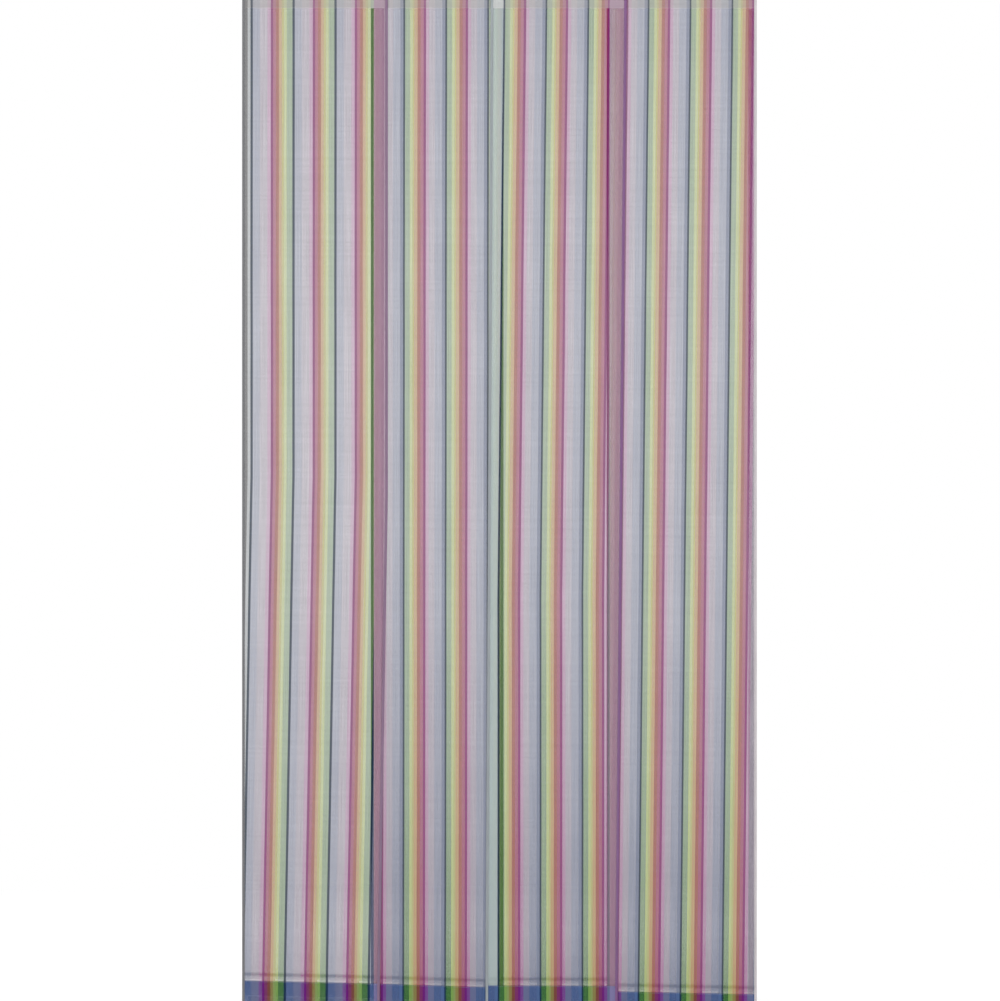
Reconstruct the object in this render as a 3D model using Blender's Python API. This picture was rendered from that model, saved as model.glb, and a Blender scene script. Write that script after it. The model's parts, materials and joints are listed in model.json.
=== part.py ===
"""Fly curtain for a door: four overlapping panels of striped mesh on a hook and loop tape.

Metres, +Z up. The door frame is at +Y, the viewer at -Y, and +X is the viewer's right.
The origin is the centre of the face that sticks to the door frame.

Two panels hang in a front layer and two in a back layer, so that their edges overlap. Each
panel is folded over at the top and sewn to one loop tape, and its bottom is folded twice into
a hem that holds a flat steel weight. A narrow tape binds its sides, round the folds too. The
loop tape presses onto a hook tape that is stuck to the frame.
"""

import math
from dataclasses import dataclass

import bmesh
import bpy
from mathutils import Matrix, Vector

# Cloth
CLOTH_THICKNESS = 0.0005
CLEARANCE = 0.0003

# The whole curtain
CURTAIN_WIDTH = 1.000
CURTAIN_LENGTH = 2.000

# Panels, from left to right: share of the cloth's width, overlap with the next panel, and
# how far above the curtain's lowest point the bottom fold starts at its left-hand corner
PANEL_WIDTH_SHARES = (0.258, 0.235, 0.241, 0.266)
PANEL_OVERLAPS = (0.033, 0.025, 0.039)
PANEL_RISES = (0.027, 0.021, 0.0175, 0.006)
# How much lower the right-hand bottom corner hangs than the left-hand one
PANEL_SLOPES = (0.006, 0.008, 0.001, 0.006)
# How far the bottom corners lie to the right of the top ones
LEANS_LEFT = (0.0, 0.0, -0.010, 0.0)
LEANS_RIGHT = (-0.0155, 0.0, -0.0175, 0.0)
LEAN_START_SHARES = (0.5, 0.0, 0.0, 0.0)
FRONT_LAYER = (True, False, True, False)

# Heading: the top of each panel, folded over and sewn to the loop tape. It reaches above the
# tape by the drop and below it by the margin, and the turned ply is a little shorter.
TAPE_DROP = 0.005
HEADING_MARGIN = 0.0055
HEADING_TURN_SHORT = 0.002

# Hook and loop tapes
TAPE_WIDTH = 0.030
TAPE_END_INSET = 0.002
TAPE_SELVEDGE = 0.002
ADHESIVE_THICKNESS = 0.0008
ADHESIVE_INSET = 0.001
HOOK_BASE_THICKNESS = 0.0010
HOOK_HEIGHT = 0.0012
HOOK_PITCH = 0.0020
HOOK_STEM = 0.0004
HOOK_HEAD = 0.0010
HOOK_HEAD_HEIGHT = 0.0004
LOOP_BASE_THICKNESS = 0.0008
LOOP_PILE_HEIGHT = 0.0014
LOOP_PILE_ROUND = 0.0006

# Hem and the weight in it
HEM_HEIGHT = 0.044
WEIGHT_WIDTH = 0.014
WEIGHT_THICKNESS = 0.0009
WEIGHT_END_INSET = 0.010
WEIGHT_CORNER_RADIUS = 0.004
TURN_IN_CLEARANCE = 0.001

# Side binding. It opens above the hem over the flare, to wrap the folded plies.
BINDING_WIDTH = 0.005
BINDING_THICKNESS = 0.0004
BINDING_HINGE_GAP = 0.0015
BINDING_HEM_GAP = 0.001
BINDING_FLARE = 0.006

# Folds of the hanging cloth
FOLD_DEPTH = 0.005
FOLDS_PER_PANEL = 2
FOLD_DRIFT_SHARE = 0.6
FOLD_PHASE_SHARES = (0.10, 0.55, 0.30, 0.80)

# Side edges: name, place across the panel and outward direction
SIDES = (("left", 0, -1), ("right", 1, 1))

# Facets
FOLD_COLUMNS = 14
FOLD_ROWS = 18
BEND_STEPS = 4
CORNER_STEPS = 4
SHARP_ANGLE_DEGREES = 40

# Finishes: colour, roughness, metallic
MESH_FINISHES = (
    ((0.52, 0.50, 0.54), 0.85, 0.0),
    ((0.50, 0.52, 0.58), 0.85, 0.0),
    ((0.55, 0.50, 0.56), 0.85, 0.0),
    ((0.50, 0.54, 0.56), 0.85, 0.0),
)
BINDING_FINISH = ((0.20, 0.21, 0.23), 0.80, 0.0)
LOOP_FINISH = ((0.85, 0.85, 0.83), 0.95, 0.0)
HOOK_FINISH = ((0.88, 0.88, 0.86), 0.45, 0.0)
ADHESIVE_FINISH = ((0.80, 0.78, 0.70), 0.60, 0.0)
STEEL_FINISH = ((0.62, 0.62, 0.63), 0.35, 1.0)

# Places that follow from the sizes above
CLOTH_WIDTH = CURTAIN_WIDTH + sum(PANEL_OVERLAPS)
TAPE_LENGTH = CURTAIN_WIDTH - 2 * TAPE_END_INSET
HEADING_HEIGHT = TAPE_DROP + TAPE_WIDTH + HEADING_MARGIN
TOP_Z = TAPE_WIDTH / 2 + TAPE_DROP
HINGE_Z = TOP_Z - HEADING_HEIGHT
PLY_PITCH = CLOTH_THICKNESS + CLEARANCE
HOOK_BACK_Y = -(ADHESIVE_THICKNESS + CLEARANCE)
HOOK_TIP_Y = HOOK_BACK_Y - HOOK_BASE_THICKNESS - HOOK_HEIGHT
PILE_Y = HOOK_TIP_Y - CLEARANCE
LOOP_FRONT_Y = PILE_Y - LOOP_PILE_HEIGHT - LOOP_BASE_THICKNESS
BINDING_LEG_Y = CLOTH_THICKNESS / 2 + CLEARANCE + BINDING_THICKNESS / 2
BINDING_REACH = BINDING_LEG_Y + BINDING_THICKNESS / 2
BACK_LAYER_Y = LOOP_FRONT_Y - CLEARANCE - BINDING_REACH - PLY_PITCH
LAYER_PITCH = PLY_PITCH + BINDING_REACH + CLEARANCE + CLOTH_THICKNESS / 2
FRONT_LAYER_Y = BACK_LAYER_Y - LAYER_PITCH
WEIGHT_SPACE = WEIGHT_THICKNESS + 2 * CLEARANCE
HEM_BEND_RADIUS = (CLOTH_THICKNESS + WEIGHT_SPACE) / 2
TURN_IN_RADIUS = HEM_BEND_RADIUS / 2
WEIGHT_TOP = HEM_BEND_RADIUS + WEIGHT_WIDTH


@dataclass(frozen=True)
class Panel:
    """One panel's sizes. Its own frame has its origin in the middle of its hinge line."""

    number: int
    left: float
    width: float
    length: float
    slope: float
    lean_left: float
    lean_right: float
    lean_start_share: float
    in_front: bool

    @property
    def side(self):
        """Which way its folds and hem stand out: -1 to the viewer, 1 to the door."""
        return -1 if self.in_front else 1

    @property
    def plane_y(self):
        """The middle of the cloth, in the curtain's frame."""
        return FRONT_LAYER_Y if self.in_front else BACK_LAYER_Y

    @property
    def middle_x(self):
        """The middle of the hinge line, in the curtain's frame."""
        return self.left + self.width / 2

    def edges(self, share):
        """The x of the cloth's left and right edges, a share of the way down."""
        leant = max(0.0, share - self.lean_start_share) / (1 - self.lean_start_share)
        half = self.width / 2 - BINDING_REACH
        return -half + self.lean_left * leant, half + self.lean_right * leant

    def across(self, column, share):
        """The x of a column, from 0 at the left edge to 1 at the right one."""
        left, right = self.edges(share)
        return left + column * (right - left)

    def fold_z(self, column):
        """The z of the middle of the cloth at the bottom fold."""
        drop = self.length + self.slope * column - HEADING_HEIGHT
        return CLOTH_THICKNESS / 2 - drop

    def hem_top_z(self, column):
        """The z of the top of the hem."""
        return self.fold_z(column) + HEM_HEIGHT

    @property
    def bound_share(self):
        """The share of the width that lies flat in the binding on each side."""
        return (BINDING_WIDTH + CLEARANCE) / self.width

    def folds(self, column, share):
        """How far the cloth stands out from its plane: soft folds between the bindings."""
        turns = FOLDS_PER_PANEL * column + FOLD_DRIFT_SHARE * share
        turns += FOLD_PHASE_SHARES[self.number - 1]
        wave = (1 - math.cos(2 * math.pi * turns)) / 2
        inside = (column - self.bound_share) / (1 - 2 * self.bound_share)
        inside = min(max(inside, 0.0), 1.0)
        return FOLD_DEPTH * wave * math.sin(math.pi * share) * math.sin(math.pi * inside)


def make_panels():
    """The four panels' sizes, laid out from the left with their overlaps."""
    panels = []
    left = -CURTAIN_WIDTH / 2
    for i, share in enumerate(PANEL_WIDTH_SHARES):
        width = share * CLOTH_WIDTH
        panels.append(
            Panel(
                number=i + 1,
                left=left,
                width=width,
                length=CURTAIN_LENGTH - PANEL_RISES[i],
                slope=PANEL_SLOPES[i],
                lean_left=LEANS_LEFT[i],
                lean_right=LEANS_RIGHT[i],
                lean_start_share=LEAN_START_SHARES[i],
                in_front=FRONT_LAYER[i],
            )
        )
        if i < len(PANEL_OVERLAPS):
            left += width - PANEL_OVERLAPS[i]
    return panels


def clear_scene():
    """Removes every object, so that the script can run in any file."""
    for item in list(bpy.data.objects):
        bpy.data.objects.remove(item, do_unlink=True)


def make_material(name, finish):
    """A plain surface with a colour, a roughness and a metallic value."""
    colour, roughness, metallic = finish
    material = bpy.data.materials.new(name)
    material.use_nodes = True
    shader = material.node_tree.nodes["Principled BSDF"]
    shader.inputs["Base Color"].default_value = (*colour, 1.0)
    shader.inputs["Roughness"].default_value = roughness
    shader.inputs["Metallic"].default_value = metallic
    material.diffuse_color = (*colour, 1.0)
    return material


def make_empty(name, place, parent=None):
    """An empty that carries a body, at a point given in its parent's frame."""
    empty = bpy.data.objects.new(name, None)
    bpy.context.scene.collection.objects.link(empty)
    empty.location = place
    empty.parent = parent
    return empty


def add_object(name, bm, finish, parent, place=(0, 0, 0), smooth=False):
    """Turns a bmesh into a named object with its own material."""
    bmesh.ops.recalc_face_normals(bm, faces=bm.faces)
    mesh = bpy.data.meshes.new(name)
    bm.to_mesh(mesh)
    bm.free()
    mesh.materials.append(make_material(name, finish))
    if smooth:
        mesh.shade_smooth()
        mesh.set_sharp_from_angle(angle=math.radians(SHARP_ANGLE_DEGREES))
    item = bpy.data.objects.new(name, mesh)
    bpy.context.scene.collection.objects.link(item)
    item.parent = parent
    item.location = place
    return item


def add_sheet(name, columns, stations, place, thickness, finish, parent, at=(0, 0, 0)):
    """A sheet of even thickness whose middle passes through place(column, station)."""
    bm = bmesh.new()
    bmesh.ops.create_grid(bm, x_segments=len(columns) - 1, y_segments=len(stations) - 1, size=1)
    for vert in bm.verts:
        i = round((vert.co.x + 1) / 2 * (len(columns) - 1))
        j = round((vert.co.y + 1) / 2 * (len(stations) - 1))
        vert.co = Vector(place(columns[i], stations[j]))
    item = add_object(name, bm, finish, parent, at, smooth=True)
    wall = item.modifiers.new("wall", "SOLIDIFY")
    wall.thickness = thickness
    wall.offset = 0
    wall.use_even_offset = True
    return item


def add_profile(name, outline, length, finish, parent, place):
    """A bar of one (y, z) section along X, centred on its place."""
    bm = bmesh.new()
    verts = [bm.verts.new((-length / 2, y, z)) for y, z in outline]
    face = bm.faces.new(verts)
    grown = bmesh.ops.extrude_face_region(bm, geom=[face])
    moved = [v for v in grown["geom"] if isinstance(v, bmesh.types.BMVert)]
    bmesh.ops.translate(bm, verts=moved, vec=(length, 0, 0))
    return add_object(name, bm, finish, parent, place)


def bend(centre, radius, start, end):
    """Points on an arc between two angles in degrees, both ends included."""
    points = []
    for i in range(BEND_STEPS + 1):
        angle = math.radians(start + (end - start) * i / BEND_STEPS)
        points.append(
            (centre[0] + radius * math.cos(angle), centre[1] + radius * math.sin(angle))
        )
    return points


def fold_columns(panel):
    """Columns across a panel: the folds', and one at the inner edge of each binding."""
    bound = panel.bound_share
    inner = [bound + (1 - 2 * bound) * i / FOLD_COLUMNS for i in range(FOLD_COLUMNS + 1)]
    return [0.0, *inner, 1.0]


def hem_path():
    """The hem's path as (stand-off, rise): down, round the weight, up, over and down inside.

    The stand-off is from the panel's own plane, and the rise is from the bottom fold.
    """
    path = [(0.0, WEIGHT_TOP)]
    path += bend((HEM_BEND_RADIUS, HEM_BEND_RADIUS), HEM_BEND_RADIUS, 180, 360)
    path.append((2 * HEM_BEND_RADIUS, WEIGHT_TOP))
    over = (2 * HEM_BEND_RADIUS - TURN_IN_RADIUS, HEM_HEIGHT - TURN_IN_RADIUS)
    path += bend(over, TURN_IN_RADIUS, 0, 180)
    path.append((HEM_BEND_RADIUS, WEIGHT_TOP + TURN_IN_CLEARANCE))
    return path


def add_mesh_panel(panel, hinge):
    """The mesh of one panel from its hinge line to the end of its hem."""
    rows = [("cloth", i / FOLD_ROWS) for i in range(FOLD_ROWS + 1)]
    rows += [("hem", point) for point in hem_path()]

    def place(column, row):
        kind, value = row
        if kind == "cloth":
            z = -CLEARANCE + value * (panel.hem_top_z(column) + CLEARANCE)
            return panel.across(column, value), panel.side * panel.folds(column, value), z
        stand_off, rise = value
        return panel.across(column, 1), panel.side * stand_off, panel.fold_z(column) + rise

    add_sheet(
        f"mesh_panel_{panel.number}",
        fold_columns(panel),
        rows,
        place,
        CLOTH_THICKNESS,
        MESH_FINISHES[panel.number - 1],
        hinge,
    )


def add_binding(name, outward, stations, parent, at=(0, 0, 0)):
    """A tape folded round an edge, from a list of stations down that edge.

    A station is (x of the cloth's edge, z, depth). The depth is how much further than one
    ply the tape reaches round, to the door if it is positive and to the viewer if not.
    """
    inward = BINDING_WIDTH - BINDING_REACH
    section = [(-inward, -BINDING_LEG_Y)]
    section += bend((0.0, 0.0), BINDING_LEG_Y, -90, 90)
    section.append((-inward, BINDING_LEG_Y))

    def place(point, station):
        reach, y = point
        edge, z, depth = station
        opened = y + (depth + abs(depth) * y / BINDING_LEG_Y) / 2
        return edge + outward * reach, opened, z

    add_sheet(name, section, stations, place, BINDING_THICKNESS, BINDING_FINISH, parent, at)


def add_panel_bindings(panel, hinge):
    """The tapes round a panel's side edges, from below the hinge line to the bottom fold."""
    hem_depth = panel.side * 2 * HEM_BEND_RADIUS
    for name, column, outward in SIDES:
        hem_top = panel.hem_top_z(column)
        heights = sorted(
            {-BINDING_HINGE_GAP, panel.lean_start_share * hem_top - BINDING_HINGE_GAP},
            reverse=True,
        )
        stations = [(panel.edges(z / hem_top)[column], z, 0.0) for z in heights]
        foot = panel.edges(1)[column]
        stations += [
            (foot, hem_top + BINDING_HEM_GAP + BINDING_FLARE, 0.0),
            (foot, hem_top + BINDING_HEM_GAP, hem_depth),
            (foot, panel.fold_z(column) - CLOTH_THICKNESS / 2, hem_depth),
        ]
        add_binding(f"edge_binding_{panel.number}_{name}", outward, stations, hinge)


def add_heading_bindings(panel, header, at):
    """The same tapes further up, round the heading's two plies."""
    for name, column, outward in SIDES:
        edge = panel.edges(0)[column]
        stations = [
            (edge, TOP_Z, PLY_PITCH),
            (edge, HINGE_Z + HEADING_TURN_SHORT, PLY_PITCH),
        ]
        add_binding(f"heading_binding_{panel.number}_{name}", outward, stations, header, at)


def add_weight(panel, hinge):
    """The flat steel bar in the hem, with rounded ends, level with the slanting hem."""
    left, right = panel.edges(1)
    length = right - left - 2 * WEIGHT_END_INSET
    bm = bmesh.new()
    bmesh.ops.create_cube(bm, size=1)
    scale = Matrix.Diagonal((length, WEIGHT_THICKNESS, WEIGHT_WIDTH, 1))
    bmesh.ops.transform(bm, matrix=scale, verts=bm.verts)
    corners = [e for e in bm.edges if abs(e.verts[0].co.y - e.verts[1].co.y) > 0]
    bmesh.ops.bevel(
        bm,
        geom=corners,
        offset=WEIGHT_CORNER_RADIUS,
        segments=CORNER_STEPS,
        profile=0.5,
        affect="EDGES",
        material=-1,
    )
    middle_z = (panel.fold_z(0) + panel.fold_z(1)) / 2 + HEM_BEND_RADIUS + WEIGHT_WIDTH / 2
    place = ((left + right) / 2, panel.side * HEM_BEND_RADIUS, middle_z)
    bar = add_object(f"hem_weight_{panel.number}", bm, STEEL_FINISH, hinge, place)
    bar.rotation_euler.y = math.atan2(panel.slope, right - left)


def add_heading(panel, header):
    """The top of the panel, folded over the back and sewn to the loop tape, and its tapes."""
    bend_radius = PLY_PITCH / 2
    over_z = TOP_Z - CLOTH_THICKNESS / 2 - bend_radius
    path = [(0.0, HINGE_Z + CLEARANCE)]
    path += bend((bend_radius, over_z), bend_radius, 180, 0)
    path.append((PLY_PITCH, HINGE_Z + HEADING_TURN_SHORT))
    at = Vector((panel.middle_x, panel.plane_y, 0)) - Vector(header.location)
    add_sheet(
        f"heading_{panel.number}",
        panel.edges(0),
        path,
        lambda x, point: (x, *point),
        CLOTH_THICKNESS,
        MESH_FINISHES[panel.number - 1],
        header,
        at,
    )
    add_heading_bindings(panel, header, at)


def hook_outline():
    """The hook tape's section: a flat base with rows of headed hooks to the front."""
    half = TAPE_WIDTH / 2
    base = -HOOK_BASE_THICKNESS
    tip = base - HOOK_HEIGHT
    neck = tip + HOOK_HEAD_HEIGHT
    outline = [(0.0, half), (0.0, -half), (base, -half)]
    rows = math.floor((TAPE_WIDTH - 2 * TAPE_SELVEDGE - HOOK_HEAD) / HOOK_PITCH) + 1
    first = -(rows - 1) * HOOK_PITCH / 2
    for i in range(rows):
        z = first + i * HOOK_PITCH
        outline += [
            (base, z - HOOK_STEM / 2),
            (neck, z - HOOK_STEM / 2),
            (neck, z - HOOK_HEAD / 2),
            (tip, z - HOOK_STEM / 2),
            (tip, z + HOOK_STEM / 2),
            (neck, z + HOOK_HEAD / 2),
            (neck, z + HOOK_STEM / 2),
            (base, z + HOOK_STEM / 2),
        ]
    outline.append((base, half))
    return outline


def loop_outline():
    """The loop tape's section: a flat base with bare selvedges and a rounded pile behind."""
    half = TAPE_WIDTH / 2
    pile = half - TAPE_SELVEDGE
    face = LOOP_BASE_THICKNESS + LOOP_PILE_HEIGHT
    shoulder = face - LOOP_PILE_ROUND
    outline = [(0.0, half), (0.0, -half), (LOOP_BASE_THICKNESS, -half)]
    outline += [(LOOP_BASE_THICKNESS, -pile)]
    outline += bend((shoulder, LOOP_PILE_ROUND - pile), LOOP_PILE_ROUND, -90, 0)
    outline += bend((shoulder, pile - LOOP_PILE_ROUND), LOOP_PILE_ROUND, 0, 90)
    outline += [(LOOP_BASE_THICKNESS, pile), (LOOP_BASE_THICKNESS, half)]
    return outline


def adhesive_outline():
    """The adhesive's section: a plain strip, a little narrower than its tape."""
    half = TAPE_WIDTH / 2 - ADHESIVE_INSET
    front = -ADHESIVE_THICKNESS
    return [(0.0, half), (0.0, -half), (front, -half), (front, half)]


def add_tapes(door_side, header):
    """The adhesive strip and hook tape on the frame, and the curtain's own loop tape."""
    strip = TAPE_LENGTH - 2 * ADHESIVE_INSET
    add_profile("adhesive_strip", adhesive_outline(), strip, ADHESIVE_FINISH, door_side, (0, 0, 0))
    hook_place = (0, HOOK_BACK_Y, 0)
    add_profile("hook_tape", hook_outline(), TAPE_LENGTH, HOOK_FINISH, door_side, hook_place)
    add_profile("loop_tape", loop_outline(), TAPE_LENGTH, LOOP_FINISH, header, (0, 0, 0))


def main():
    """Builds the curtain, hanging straight down."""
    clear_scene()
    door_side = make_empty("door_side", (0, 0, 0))
    header = make_empty("header", (0, LOOP_FRONT_Y, 0), door_side)
    add_tapes(door_side, header)
    for panel in make_panels():
        place = Vector((panel.middle_x, panel.plane_y, HINGE_Z)) - Vector(header.location)
        hinge = make_empty(f"panel_{panel.number}_hinge", place, header)
        add_heading(panel, header)
        add_mesh_panel(panel, hinge)
        add_panel_bindings(panel, hinge)
        add_weight(panel, hinge)


main()
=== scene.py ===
"""Looks of a striped mesh fly curtain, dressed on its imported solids.

Metres, +Z up. The door frame is at +Y, the viewer at -Y, and +X is the viewer's right.

Each panel is one cloth: it is folded over and sewn to the loop tape at the top, hangs in
soft folds, and is folded twice round its weight at the bottom. Woven tape binds its sides.
"""

import json
import logging
import math
from collections.abc import Callable, Sequence
from dataclasses import dataclass, field
from enum import Enum
from functools import partial, reduce

import bmesh
import bpy
from mathutils import Matrix, Vector, noise


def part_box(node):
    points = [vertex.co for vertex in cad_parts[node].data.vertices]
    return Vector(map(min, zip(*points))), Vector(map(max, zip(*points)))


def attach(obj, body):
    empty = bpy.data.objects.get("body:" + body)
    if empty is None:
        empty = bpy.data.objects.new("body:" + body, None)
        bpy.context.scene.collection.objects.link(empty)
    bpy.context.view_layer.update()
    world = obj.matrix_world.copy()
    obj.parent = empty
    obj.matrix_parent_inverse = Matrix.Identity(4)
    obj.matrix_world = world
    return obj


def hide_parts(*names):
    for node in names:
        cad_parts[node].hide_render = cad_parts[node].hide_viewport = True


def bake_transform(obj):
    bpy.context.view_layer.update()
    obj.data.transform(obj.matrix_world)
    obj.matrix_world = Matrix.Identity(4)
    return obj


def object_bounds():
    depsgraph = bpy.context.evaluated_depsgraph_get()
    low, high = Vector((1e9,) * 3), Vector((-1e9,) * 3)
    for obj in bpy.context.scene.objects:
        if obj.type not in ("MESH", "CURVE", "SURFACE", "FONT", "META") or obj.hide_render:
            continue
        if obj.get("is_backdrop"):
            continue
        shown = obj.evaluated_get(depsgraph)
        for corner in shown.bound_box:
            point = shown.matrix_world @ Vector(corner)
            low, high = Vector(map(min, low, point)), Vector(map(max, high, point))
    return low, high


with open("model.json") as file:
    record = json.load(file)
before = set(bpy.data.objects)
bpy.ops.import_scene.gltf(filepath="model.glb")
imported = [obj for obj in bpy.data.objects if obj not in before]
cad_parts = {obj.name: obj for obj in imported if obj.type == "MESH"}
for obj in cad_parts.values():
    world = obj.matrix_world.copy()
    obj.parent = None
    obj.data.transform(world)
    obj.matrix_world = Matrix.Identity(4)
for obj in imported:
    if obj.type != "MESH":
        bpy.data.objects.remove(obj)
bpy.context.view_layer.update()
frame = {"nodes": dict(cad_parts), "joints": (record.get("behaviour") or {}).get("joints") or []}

log = logging.getLogger("curtain")

# Short names for types that recur
Socket = bpy.types.NodeSocket
Triple = tuple[float, float, float]

# What the solids are built with
CLOTH_THICKNESS = 0.0005
PLY_PITCH = 0.0008
HEM_HEIGHT = 0.044
HEM_BEND_RADIUS = 0.001
TURN_IN_RADIUS = 0.0005
WEIGHT_WIDTH = 0.014
TURN_IN_CLEARANCE = 0.001
HEADING_TURN_SHORT = 0.002
TAPE_SELVEDGE = 0.002
BINDING_WIDTH = 0.005
BINDING_THICKNESS = 0.0004
BINDING_LEG_Y = 0.00075
BINDING_REACH = 0.00095
BINDING_HINGE_GAP = 0.0015
BINDING_HEM_GAP = 0.001
BINDING_FLARE = 0.006
FOLD_DEPTH = 0.005
FOLDS_PER_PANEL = 2
FOLD_DRIFT_SHARE = 0.6

# Distances above and below a panel's hinge line
BEND_ABOVE = 0.002
BEND_BELOW = 0.012

# The size of the picture that the camera frames, and where the curtain lies in it
PICTURE_WIDTH_PX = 1000
PICTURE_HEIGHT_PX = 1001
CURTAIN_LEFT_PX = 242
CURTAIN_RIGHT_PX = 757
TOP_ROW_Z = -0.004

SMOOTH_ANGLE = math.radians(40)
CHART = "cloth"


class Side(Enum):
    """A panel's side edges: its place across the panel, and which way is outward."""

    LEFT = (0, -1)
    RIGHT = (1, 1)

    @property
    def column(self) -> int:
        """0 at the left edge and 1 at the right one."""
        return self.value[0]

    @property
    def outward(self) -> int:
        """The sign of X away from the cloth."""
        return self.value[1]


class Yarn(Enum):
    """Dyed warp yarns: red, green, blue, and how open the mesh is where they run."""

    INK = (0.004, 0.030, 0.070, 0.07)
    GREEN = (0.095, 0.230, 0.045, 0.25)
    LIME = (0.420, 0.500, 0.090, 0.24)
    TAN = (0.480, 0.440, 0.110, 0.17)
    PEACH = (0.510, 0.290, 0.070, 0.19)
    BRICK = (0.385, 0.080, 0.045, 0.13)
    ROSE = (0.385, 0.035, 0.140, 0.155)
    MAGENTA = (0.275, 0.010, 0.180, 0.09)
    PINK = (0.375, 0.085, 0.295, 0.265)
    HEATHER = (0.480, 0.290, 0.420, 0.27)
    LILAC = (0.280, 0.220, 0.310, 0.27)
    GREY_BLUE = (0.145, 0.170, 0.295, 0.26)
    DUSK = (0.150, 0.185, 0.305, 0.15)
    SLATE = (0.160, 0.160, 0.165, 0.10)
    SILVER = (0.240, 0.270, 0.300, 0.27)
    MINT = (0.580, 0.680, 0.700, 0.27)

    @property
    def colour(self) -> tuple[float, float, float, float]:
        """The yarn's colour, with its coverage as alpha."""
        red, green, blue, openness = self.value
        return red, green, blue, 1 - openness


# The stripes of one repeat, from the dark line to the right, and the same cloth turned over
FACE_STRIPES = (
    (Yarn.INK, 0.0034),
    (Yarn.GREEN, 0.0096),
    (Yarn.LIME, 0.0050),
    (Yarn.TAN, 0.0035),
    (Yarn.PEACH, 0.0060),
    (Yarn.BRICK, 0.0060),
    (Yarn.ROSE, 0.0060),
    (Yarn.MAGENTA, 0.0045),
    (Yarn.PINK, 0.0060),
    (Yarn.LILAC, 0.0115),
    (Yarn.GREY_BLUE, 0.0140),
    (Yarn.DUSK, 0.0060),
)
BACK_STRIPES = (
    (Yarn.INK, 0.0045),
    (Yarn.GREY_BLUE, 0.0140),
    (Yarn.LILAC, 0.0145),
    (Yarn.PINK, 0.0065),
    (Yarn.MAGENTA, 0.0045),
    (Yarn.ROSE, 0.0055),
    (Yarn.BRICK, 0.0060),
    (Yarn.PEACH, 0.0052),
    (Yarn.TAN, 0.0043),
    (Yarn.LIME, 0.0055),
    (Yarn.GREEN, 0.0110),
)


@dataclass(frozen=True)
class Grain:
    """Soft mottling: its grains' length along each axis, and what it does.

    Shade and holes are how far it swings the colour's lightness and the mesh's openness.
    """

    size: Triple
    detail: float = 3.0
    shade: float = 0.0
    holes: float = 0.0


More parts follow.
